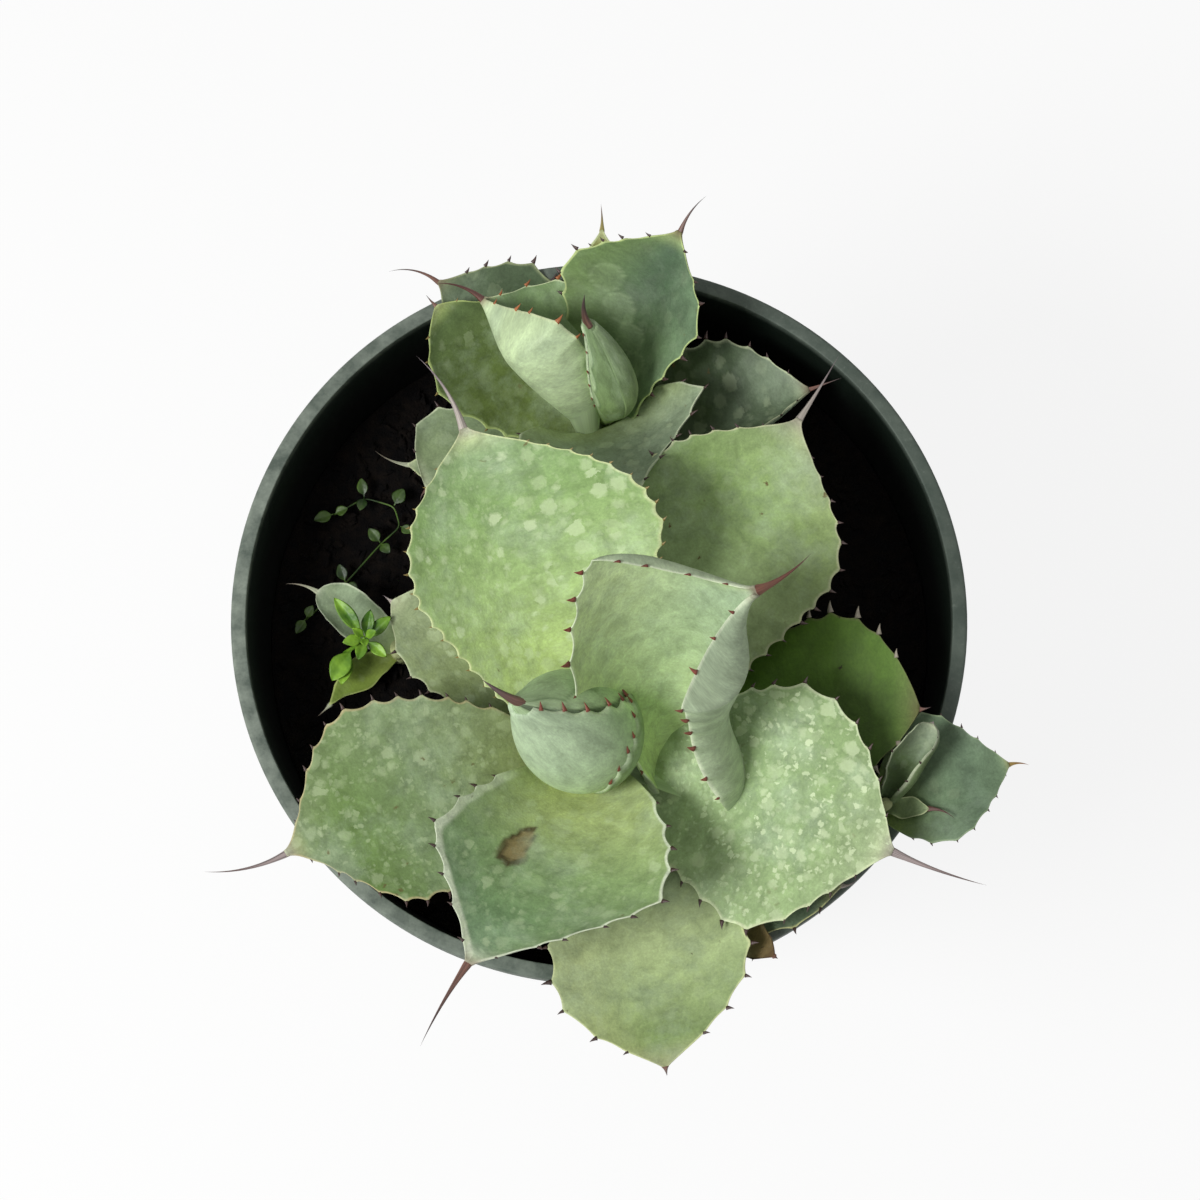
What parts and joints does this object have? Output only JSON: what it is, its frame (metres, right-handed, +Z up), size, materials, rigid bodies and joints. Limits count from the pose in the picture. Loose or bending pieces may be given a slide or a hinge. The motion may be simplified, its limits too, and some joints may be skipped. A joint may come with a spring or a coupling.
{
  "type": "potted agave",
  "caption": "Spiny rosette of broad succulent leaves with a large offset rosette behind and two small ones beside it, in a round tapered nursery pot.",
  "frame": {"origin": "centre of the pot's flat base, on the surface it stands on", "axes": "+Z up along the pot's axis; the main rosette leans to -Y of the axis and the large offset stands to +Y"},
  "size_m": [0.1789, 0.1957, 0.2235],
  "materials": {
    "pot_plastic": "dark grey-green moulded polyethylene, scuffed and dusty at the rim",
    "potting_mix": "damp black peat and bark potting mix",
    "stem_flesh": "pale fleshy caudex, dry at the scars",
    "leaf": "waxy blue-green succulent leaf with pale toothed margins",
    "young_leaf": "pale glaucous young leaf, heavy wax bloom",
    "old_leaf": "grey-green older leaf",
    "dark_leaf": "dark olive shaded leaf",
    "dead_leaf": "dry withered brown leaf",
    "weed_leaf": "soft bright green seedling leaf"
  },
  "bodies": {
    "root": {"pot": "pot_plastic", "potting_mix": "potting_mix", "main_stem": "stem_flesh", "back_pup_stem": "stem_flesh", "left_pup_stem": "stem_flesh", "right_pup_stem": "stem_flesh", "main_bud": "young_leaf", "back_pup_bud": "young_leaf", "main_leaf_01": "young_leaf", "main_leaf_02": "leaf", "main_leaf_03": "leaf", "main_leaf_04": "leaf", "main_leaf_05": "leaf", "main_leaf_06": "leaf", "main_leaf_07": "old_leaf", "main_leaf_08": "leaf", "main_leaf_09": "dark_leaf", "main_leaf_10": "old_leaf", "dead_leaf": "dead_leaf", "back_pup_leaf_01": "young_leaf", "back_pup_leaf_02": "leaf", "back_pup_leaf_03": "leaf", "back_pup_leaf_04": "leaf", "back_pup_leaf_05": "leaf", "back_pup_leaf_06": "leaf", "back_pup_leaf_07": "leaf", "back_pup_leaf_08": "leaf", "back_pup_leaf_09": "leaf", "left_pup_leaf_01": "leaf", "left_pup_leaf_02": "leaf", "right_pup_leaf_01": "old_leaf", "right_pup_leaf_02": "old_leaf", "right_pup_leaf_03": "old_leaf", "seedling": "weed_leaf", "creeping_weed": "weed_leaf"}
  },
  "joints": []
}
